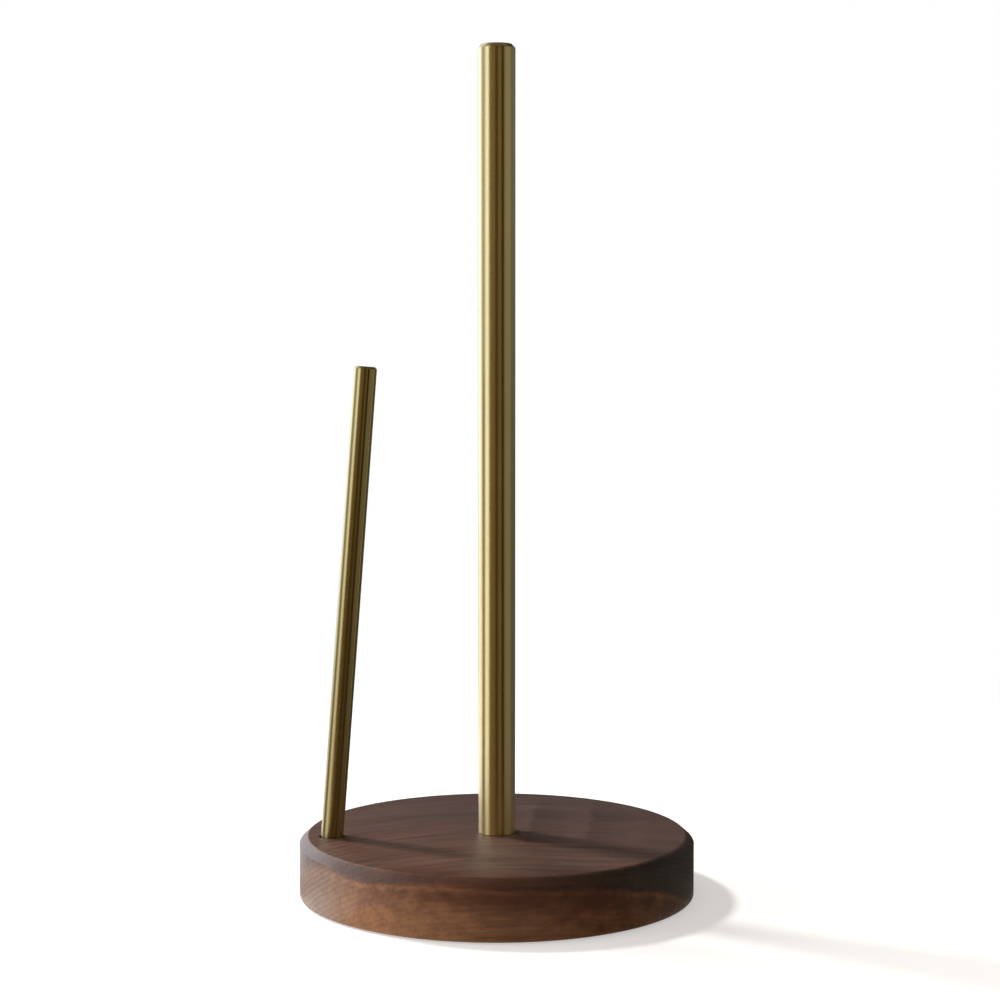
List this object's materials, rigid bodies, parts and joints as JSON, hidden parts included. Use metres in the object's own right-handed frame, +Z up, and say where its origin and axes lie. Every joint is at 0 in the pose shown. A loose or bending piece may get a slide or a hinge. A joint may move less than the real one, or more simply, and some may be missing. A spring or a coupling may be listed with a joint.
{
  "type": "paper towel holder",
  "caption": "Free-standing paper towel holder: round wooden base, upright brass post for the roll, and a shorter sprung brass side arm that leans on the roll to hold it while a sheet is torn.",
  "frame": {"origin": "on the table, at the centre of the round base, on the post's axis", "axes": "+Z up along the post, the side arm on the -X side, +Y across"},
  "size_m": [0.15, 0.15, 0.32],
  "materials": {
    "walnut": "oiled walnut, satin",
    "pad_rubber": "matte black",
    "ballast_steel": "zinc-plated plate",
    "screw_steel": "zinc-plated",
    "brass": "drawn bar, fine brushed",
    "housing_plastic": "moulded black nylon",
    "pin_steel": "ground pin",
    "spring_steel": "spring wire"
  },
  "bodies": {
    "base": {"base_disc": "walnut", "non_slip_pad": "pad_rubber", "ballast_plate": "ballast_steel", "ballast_screws": "screw_steel", "center_post": "brass", "post_screw": "screw_steel", "arm_pivot_housing": "housing_plastic", "arm_pivot_pin": "pin_steel", "arm_spring": "spring_steel", "housing_screws": "screw_steel"},
    "arm": {"side_arm": "brass"}
  },
  "joints": [
    {"name": "arm_tilt", "type": "hinge", "parent": "base", "child": "arm", "pos_m": [-0.06297, 0, 0.0195], "axis": [0, -1, 0], "range_deg": [0, 8.7], "stiffness_Nm_per_rad": 0.95, "springref_deg": -9.17, "deforming": ["arm_spring"]}
  ]
}
